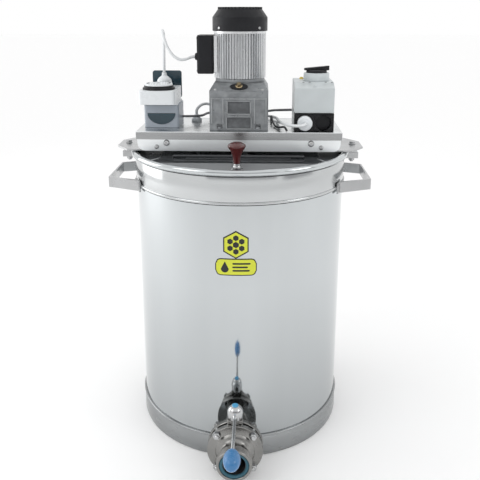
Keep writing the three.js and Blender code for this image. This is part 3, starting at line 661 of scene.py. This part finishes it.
def terminal_box():
    dress("terminal_box", "black", 1.6)
    x0 = -97.0
    plate = box(x0 - 1.2, x0 + 2, -36.5, 36.5, 867, 950)
    place_mesh("terminal_lid", plate, "black", "frame", bevel=1.0)
    for y in (-31, 31):
        for z in (872, 945):
            head = moved(screw_head(2.6, 1.6, 0.3), at=(x0 - 1.1, y, z), turn=(0, -90, 0))
            place_mesh(f"terminal_screw_{y + 40}_{z}", head, "chrome", "frame")
    gland = [(4.0, 0), (10, 0), (10, 3), (8.6, 3.4), (8.6, 5.4), (7.2, 7.4), (5, 8), (4.0, 8)]
    place_mesh("terminal_gland_nut", moved(lathe(gland, 12, closed=True), at=(-98.4, 0, 902),
               turn=(0, -90, 0)), "black", "frame", ["terminal_gland"])


# ---- socket box and timer ----------------------------------------------------------------


def timer_stack():
    dress("socket_box", "grey", 1.6)
    dress("socket_flap", "teal", 1.2)
    dress("timer_body", "white", 2.2)
    front = -45.0
    arcs = [(-183 + 33 * math.cos(math.radians(a)), 774 + 26 * math.sin(math.radians(a)))
            for a in range(180, 361, 10)]
    window = moved(prism([(x, z) for x, z in arcs], 0, 1.6), turn=(90, 0, 0),
                   at=(0, front, 0))
    place_mesh("socket_window", window, "teal", "frame", bevel=0.5)
    place_mesh("timer_foot", box(-222, -145, -43, 47, 792.3, 795.8), "white", "frame",
               bevel=0.8)
    dial_x, dial_y, low = -190.5, -24.0, 828.3
    ring = [(0, low), (37.8, low), (38, low + 1), (38, low + 3.2), (37.2, low + 4.2),
            (35, low + 4.8), (34.4, low + 5.6), (34.4, low + 8.2), (33.6, low + 9), (30, low + 9),
            (0, low + 9)]
    place_mesh("dial_ring", moved(lathe(ring, 96), at=(dial_x, dial_y, 0)), "black",
               "timer_dial", ["timer_dial"])
    top = [(0, low + 8.8), (32.6, low + 8.8), (32.4, low + 12), (30.8, low + 13.6), (0, low + 14)]
    place_mesh("dial_top", moved(lathe(top, 96), at=(dial_x, dial_y, 0)), "white", "timer_dial")
    ticks = []
    for i in range(24):
        long = 6 if i % 6 == 0 else 3.5
        ticks.append(moved(box(28.5 - long, 28.5, -0.4, 0.4, low + 13.6, low + 14.15),
                           turn=(0, 0, 15 * i), at=(dial_x, dial_y, 0)))
    arrow = prism([(-3.5, -4), (3.5, -4), (0, 6)], low + 13.6, low + 14.2)
    ticks.append(moved(arrow, at=(dial_x, dial_y, 0)))
    place_mesh("dial_marks", joined(*ticks), "socket", "timer_dial")
    plug = [(0, low), (18.3, low), (18.5, low + 1), (18.5, low + 9)]
    plug += arc(17.5, 8, 62, 8, 1.0, low + 8) + [(6.2, low + 26), (5.2, low + 33), (4.6, low + 33),
                                                 (0, low + 33)]
    ribs = [moved(box(16.6, 19.2, -0.7, 0.7, low + 1.5, low + 9), turn=(0, 0, i * 15))
            for i in range(24)]
    place_mesh("timer_plug_body", moved(joined(lathe(plug, 64), *ribs), at=(-186, 36, 0)),
               "white", "frame", ["timer_plug"])


# ---- switch box --------------------------------------------------------------------------


def switch_unit():
    dress("switch_box", "light", 2.0)
    dress("socket_block", "socket", 1.0)
    x0, x1, front, seam = 126.0, 216.0, -85.0, 782.0
    for i, cx in enumerate((150.0, 192.0)):
        outer = rounded(-20.5, 20.5, -19, 19, 4)
        ring = frame_plate(outer, circle(17.8, len(outer)), 1.6)
        place_mesh(f"socket_rim_{i}", forward(ring, front - 3.0, 760.5, cx), "socket", "frame",
                   bevel=0.3)
    insert = joined(lathe([(17.2, 0), (17.2, 1.0), (0, 1.0), (0, 0)], 48),
                    moved(lathe([(0, 1.1), (2.6, 1.1), (2.8, 0.9)], 20), at=(-9.5, 0, 0)),
                    moved(lathe([(0, 1.1), (2.6, 1.1), (2.8, 0.9)], 20), at=(9.5, 0, 0)))
    place_mesh("socket_insert", forward(insert, -76.3, 760, 192), "black", "frame")
    plug = [(0, 77.2), (16.8, 77.2), (17, 78), (17, 95)] + arc(4, 0, 70, 5, 13, 95.5)
    plug += [(9, 99.8), (5.6, 100), (5.0, 100), (0, 100)]
    place_mesh("link_plug_body", forward(lathe(plug, 56), 0, 760, 150), "white", "frame",
               ["link_plug"])
    top = 850.3
    bezel = [(0, top), (29.6, top), (30, top + 0.8), (29.4, top + 16.6), (28.2, top + 18),
             (0, top + 18)]
    place_mesh("switch_disc", moved(lathe(bezel, 80), at=(178, -30, 0)), "light", "frame",
               ["switch_bezel"])
    low = top + 18.3
    hub = lathe([(0, low), (23.8, low), (24, low + 0.8), (23.2, low + 4.6), (21, low + 6),
                 (0, low + 6)], 64)
    lever = prism(lever_outline(), low + 5, low + 15.5)
    lever = ([(x, y, z - (29.5 - x) * 0.1 if z > low + 10 else z) for x, y, z in lever[0]],
             lever[1])
    place_mesh("switch_lever", moved(joined(hub, lever), at=(178, -30, 0)), "black",
               "switch_knob", ["switch_knob"], bevel=1.2)
    # Painted shade: flat dark squares on the top, standing in for its small square holes.
    marks = [box(x - 2.2, x + 2.2, -71.5, -67.5, 849.6, 850.3) for x in (146, 160, 196, 210)]
    place_mesh("switch_holes_painted_shade", joined(*marks), "socket", "frame")
    lamp = moved(lathe([(0, 5), (3, 4.5), (5, 2), (5.2, 0), (0, 0)], 32), at=(146, 8, 850.1))
    place_mesh("pilot_lamp", lamp, "yellow", "frame")
    joint = box(x0 - 0.25, x1 + 0.25, front + 0.6, 30.25, seam + 1.2, seam + 2.2)
    place_mesh("switch_box_joint", joint, "socket", "frame")
    notch = moved(screw_head(3.2, 0.9, 0.3), at=(171, front + 5.6, 842.6), turn=(60, 0, 0))
    place_mesh("switch_cover_screw", notch, "light", "frame")


def lever_outline():
    """A pointer grip: broad rounded tail, narrower nose."""
    tail = arc(9, 90, 270, 8, -20, 0)
    nose = arc(6.5, -90, 90, 8, 23, 0)
    return tail + nose


def frame_plate(outer, inner, thick):
    """A plate with a hole, from two rings with the same number of points."""
    n = len(outer)
    turn = min(range(n), key=lambda k: (inner[k][0] - outer[0][0]) ** 2
               + (inner[k][1] - outer[0][1]) ** 2)
    inner = inner[turn:] + inner[:turn]
    rows = [[(x, y, 0) for x, y in outer], [(x, y, thick) for x, y in outer],
            [(x, y, thick) for x, y in inner], [(x, y, 0) for x, y in inner]]
    faces = []
    for k in range(4):
        a, b = k * n, ((k + 1) % 4) * n
        faces += [[a + i, a + (i + 1) % n, b + (i + 1) % n, b + i] for i in range(n)]
    return [p for row in rows for p in row], faces


# ---- valve -------------------------------------------------------------------------------


def valve():
    bore, flange, stem_y, z = 25.0, 62.0, -303.0, OUTLET_Z
    corners = [(sx * 40, sz * 40) for sx in (-1, 1) for sz in (-1, 1)]
    pipe = [(bore, 248.6), (28, 248.6), (28, 281), (29.5, 284.5), (34, 287.4), (60.5, 288),
            (flange, 289.4), (flange, 298.4), (60.8, 299.6), (bore, 299.6)]
    place_mesh("nozzle_body", forward(lathe(pipe, 96, closed=True), 0, z), "cast_steel", "frame",
               ["valve_nozzle"])
    weld = lathe([(28, 250.6)] + arc(3.2, 160, 20, 6, 30.2, 251.4) + [(28.2, 253.6)], 64)
    place_mesh("nozzle_weld", forward(weld, 0, z), "satin", "frame")
    mouth = [(bore, 306.4), (60.8, 306.4), (flange, 307.6), (flange, 316.6), (60.4, 318),
             (45, 318), (43.6, 319), (42.4, 321.6), (38, 324.4), (33, 328), (31.2, 332),
             (31, 337), (31.4, 342), (33, 345.4), (36, 347.2)]
    thread = []
    for k in range(4):
        y = 348.5 + 4.4 * k
        thread += [(37.2, y), (38.9, y + 1.3), (38.9, y + 2.4), (37.2, y + 3.7)]
    lip = [(38.4, 366.4), (37.6, 367.8), (33.2, 367.8), (32.5, 367), (32.5, 362.2),
           (bore, 362.2)]
    place_mesh("spout_body", forward(lathe(mouth + thread + lip, 112, closed=True), 0, z),
               "cast_steel", "frame", ["valve_spout"])
    seal = [(25.6, 362.4), (32.2, 362.4), (32.2, 365.6), (30.8, 366.8), (27, 366.8), (25.6, 365.4)]
    place_mesh("spout_seal_ring", forward(lathe(seal, 80, closed=True), 0, z), "rubber", "frame",
               ["spout_gasket"])
    # Painted shade: a thin dark sheet lining the spout's bore.
    bore_shade_sheet = lathe([(24.9, 306), (24.9, 361.5), (24.6, 361.5), (24.6, 306)], 72, closed=True)
    place_mesh("spout_bore_painted_shade", forward(bore_shade_sheet, 0, z), "bore", "frame")
    gasket = lathe([(25.2, 299.9), (44.6, 299.9), (45, 300.6), (45, 305.4), (44.6, 306.1),
                    (25.2, 306.1)], 72, closed=True)
    place_mesh("flange_seal_ring", forward(gasket, 0, z), "rubber", "frame", ["valve_seal"])
    for i, (x, dz) in enumerate(corners):
        bolt = joined(moved(hex_head(14.5, 6), at=(0, 0, 318.6)),
                      lathe([(0, 296), (4.4, 296), (4.4, 327), (3.6, 328.4), (0, 328.4)], 24),
                      lathe([(4.6, 317.9), (9, 317.9), (9, 318.8), (4.6, 318.8)], 32,
                            closed=True),
                      moved(hex_head(14.5, 6.6), at=(0, 0, 281)))
        place_mesh(f"flange_bolt_{i}", forward(bolt, 0, z + dz, x), "chrome", "frame")
    disc = moved(lathe([(0, 2.6), (20, 1.9), (23.6, 0.7), (23.6, -0.7), (20, -1.9), (0, -2.6)],
                       64), turn=(0, 90, 0), at=(0, stem_y, z))
    stem = lathe([(0, z + 20), (5.9, z + 20), (5.9, z + 76), (0, z + 76)], 32)
    place_mesh("butterfly_disc", joined(disc, moved(stem, at=(0, stem_y, 0))), "chrome", "valve",
               ["valve_disc"])
    neck()
    lever(stem_y, z)


def neck():
    """The bracket over the flanges that carries the stem, with its index plate."""
    y, low = -303.0, OUTLET_Z + 62.2
    body = prism([(-15, low + 1), (-17, low + 12.6), (17, low + 12.6), (15, low + 1)], -13, 13)
    body = moved(body, turn=(90, 0, 0), at=(0, y, 0))
    wings = [joined(moved(prism([(0, 0), (9, 0), (4, -26), (0, -34)], -1.5, 1.5),
                          turn=(90, 0, 0), at=(end * 12 - 4.5, y - 11.5, low + 6)))
             for end in (-1, 1)]
    place_mesh("stem_bracket", joined(body, *wings), "cast_steel", "frame", ["stem_bearing"],
               bevel=0.9)


def lever(stem_y, z):
    low = z + 76.3
    hub = [(0, low), (16.6, low), (17.2, low + 1), (17.5, low + 12)]
    hub += arc(17.5, 0, 66, 10, 0, low + 12) + [(6.6, low + 28), (0, low + 28)]
    rise, run = 156 - (low + 10), stem_y - 12 + 489 - 54
    lean = math.degrees(math.atan2(rise, run))
    reach = math.hypot(rise, run)
    shaft = [(0, 0), (5.4, 0), (5.4, 6), (4.2, 8), (3.9, 20), (3.9, reach), (0, reach)]
    rod = moved(moved(lathe(shaft, 32), turn=(90 - lean, 0, 0)), at=(0, stem_y - 12, low + 10))
    place_mesh("lever_hub_and_rod", joined(moved(lathe(hub, 64), at=(0, stem_y, 0)), rod),
               "chrome", "valve", ["valve_lever"])
    cap = lathe([(0, low + 28), (7, low + 28), (7, low + 29.4), (6, low + 30.3), (0, low + 30.5)],
                40)
    place_mesh("hub_cap", moved(cap, at=(0, stem_y, 0)), "cap", "valve", ["valve_cap"])
    grip = [(0, 0), (6.4, 0), (8.6, 1.4), (11.6, 5), (14.4, 10), (16.6, 17), (17.4, 24),
            (17, 31), (15.2, 38.5), (12, 45), (7.6, 49.4), (3.4, 50.8), (0, 51)]
    place_mesh("lever_grip", moved(moved(lathe(grip, 64), turn=(90 - lean * 0.5, 0, 0)),
               at=(0, -489 + 53, 157)), "blue", "valve", ["valve_grip"])


# ---- stirrer -----------------------------------------------------------------------------


def stirrer():
    dress("stirrer_shaft", "satin")
    dress("stirrer_frame", "satin", 1.2)


# ---- cords -------------------------------------------------------------------------------

MOTOR_CORD = [(-105.6, 0, 902), (-116, 0, 900.5), (-128, 0, 896), (-142, 1, 895),
              (-156, 3, 902), (-169, 7, 917), (-179, 14, 938), (-185, 24, 955), (-187, 36, 961),
              (-187, 49, 952), (-187, 53, 936), (-187, 49, 918), (-186.3, 42, 900),
              (-186, 37.5, 880), (-186, 36, 861.7)]
LINK_CORD = [(-141.5, 20, 757), (-130, 20.5, 756.8), (-112, 28, 756), (-96, 46, 755),
             (-84, 77, 756), (-66, 89, 757), (-20, 89.5, 757), (20, 89.5, 758), (64, 89, 760),
             (82, 77, 764), (93, 54, 768), (102, 36, 771), (112, 24, 773), (124.6, 19.5, 774)]
PLUG_CORD = [(-110, 50, 758.2), (-109.5, 51, 768), (-102, 60, 777), (-92, 74, 780),
             (-80, 88, 777), (-62, 97, 771), (-30, 98, 763), (0, 98, 755), (30, 98, 750),
             (60, 97, 747), (80, 88, 746), (89, 68, 746), (92, 40, 747), (93, 10, 748),
             (94, -20, 751), (96, -50, 755), (100, -80, 758), (109, -106, 759),
             (124, -121, 759), (140, -121, 759), (148.5, -112, 760), (150, -101, 760)]
SENSOR_CORD = [(76, 58, 740.6), (76, 57, 748), (76.5, 50, 753), (77.5, 38, 753),
               (78.5, 15, 749), (81, -10, 745.5), (85, -38, 743.6), (91, -60, 744.5),
               (98, -76, 748), (105, -87, 749.5), (110, -91.5, 742)]


def smooth_path(points, per=6):
    """A centripetal curve through the points, as the frame's own cords follow."""
    v = [Vector(p) for p in points]
    v = [v[0] * 2 - v[1]] + v + [v[-1] * 2 - v[-2]]
    out = []
    for i in range(1, len(v) - 2):
        p0, p1, p2, p3 = v[i - 1:i + 3]
        t0 = 0.0
        t1 = t0 + (p1 - p0).length ** 0.5
        t2 = t1 + (p2 - p1).length ** 0.5
        t3 = t2 + (p3 - p2).length ** 0.5
        for k in range(per):
            t = t1 + (t2 - t1) * k / per
            a1 = p0 * ((t1 - t) / (t1 - t0)) + p1 * ((t - t0) / (t1 - t0))
            a2 = p1 * ((t2 - t) / (t2 - t1)) + p2 * ((t - t1) / (t2 - t1))
            a3 = p2 * ((t3 - t) / (t3 - t2)) + p3 * ((t - t2) / (t3 - t2))
            b1 = a1 * ((t2 - t) / (t2 - t0)) + a2 * ((t - t0) / (t2 - t0))
            b2 = a2 * ((t3 - t) / (t3 - t1)) + a3 * ((t - t1) / (t3 - t1))
            out.append(b1 * ((t2 - t) / (t2 - t1)) + b2 * ((t - t1) / (t2 - t1)))
    return out + [v[-2]]


def cord(name, points, diameter, look, node):
    line = smooth_path(points)
    data = bpy.data.curves.new(name, "CURVE")
    data.dimensions = "3D"
    data.bevel_depth = diameter / 2 * MM
    data.bevel_resolution = 5
    data.use_fill_caps = True
    spline = data.splines.new("POLY")
    spline.points.add(len(line) - 1)
    for spot, p in zip(spline.points, line):
        spot.co = (*(p * MM), 1)
    data.materials.append(M[look])
    piece = bpy.data.objects.new(name, data)
    bpy.context.scene.collection.objects.link(piece)
    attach(piece, "frame")
    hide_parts(node)
    return piece


def cords():
    cord("motor_lead", MOTOR_CORD, 7, "cord_white", "motor_cord")
    cord("link_lead", LINK_CORD, 6, "cord_grey", "link_cord")
    cord("plug_lead", PLUG_CORD, 7, "cord_white", "plug_cord")
    cord("sensor_lead", SENSOR_CORD, 5, "cord_black", "sensor_cord")
    gland = [(0, 740.4), (12.6, 740.4), (13, 741), (13, 746.4), (11.6, 748), (9, 748.4),
             (8.6, 752.4), (6.6, 755.6), (4.6, 757.4), (0, 757.4)]
    place_mesh("plate_gland_body", moved(lathe(gland, 48), at=(-110, 50, 0)), "white", "frame",
               ["plate_gland"])


# ---- floor and light ---------------------------------------------------------------------


def studio():
    floor_look = bpy.data.materials.new("floor")
    floor_look.use_nodes = True
    shader = floor_look.node_tree.nodes["Principled BSDF"]
    shader.inputs["Base Color"].default_value = (0.985, 0.985, 0.985, 1)
    shader.inputs["Roughness"].default_value = 0.9
    mesh = bpy.data.meshes.new("floor")
    size = 30
    mesh.from_pydata([(-size, -size, -0.0005), (size, -size, -0.0005), (size, size, -0.0005),
                      (-size, size, -0.0005)], [], [(0, 1, 2, 3)])
    mesh.materials.append(floor_look)
    floor = bpy.data.objects.new("floor", mesh)
    bpy.context.scene.collection.objects.link(floor)

    world = bpy.data.worlds.new("studio")
    bpy.context.scene.world = world
    world.use_nodes = True
    world.node_tree.nodes["Background"].inputs["Color"].default_value = (1, 1, 1, 1)
    world.node_tree.nodes["Background"].inputs["Strength"].default_value = 1.0

    card_look = bpy.data.materials.new("studio_wall")
    card_look.use_nodes = True
    shader = card_look.node_tree.nodes["Principled BSDF"]
    shader.inputs["Base Color"].default_value = (0.42, 0.42, 0.43, 1)
    shader.inputs["Roughness"].default_value = 1.0
    for name, x0, x1, y0, y1, z0, z1 in (("front_wall", -2.6, 3.4, -4.2, -4.2, 1.1, 3.4),
                                         ("right_wall", 3.6, 3.6, -3.4, -0.6, 0.7, 2.6)):
        mesh = bpy.data.meshes.new(name)
        mesh.from_pydata([(x0, y0, z0), (x1, y1, z0), (x1, y1, z1), (x0, y0, z1)], [],
                         [(0, 1, 2, 3)])
        mesh.materials.append(card_look)
        card = bpy.data.objects.new(name, mesh)
        card.visible_camera = False
        card.visible_shadow = False
        bpy.context.scene.collection.objects.link(card)

    for name, at, aim, size, power in (
        ("key", (-2.0, -1.4, 2.2), (0, 0, 0.5), 1.4, 9),
        ("left_panel", (-2.4, 0.5, 1.0), (0, 0, 0.6), 1.6, 14),
        ("fill", (2.2, -1.0, 1.8), (0, 0, 0.5), 1.0, 8),
    ):
        data = bpy.data.lights.new(name, "AREA")
        data.size = size
        data.energy = power
        lamp = bpy.data.objects.new(name, data)
        bpy.context.scene.collection.objects.link(lamp)
        lamp.location = at
        lamp.rotation_euler = (Vector(aim) - Vector(at)).to_track_quat("-Z", "Y").to_euler()
    bpy.context.scene.view_settings.view_transform = "Standard"


make_camera()
cords()
studio()
drum()
handles()
label()
bridge()
lids()
gearbox()
motor()
timer_stack()
switch_unit()
valve()
stirrer()
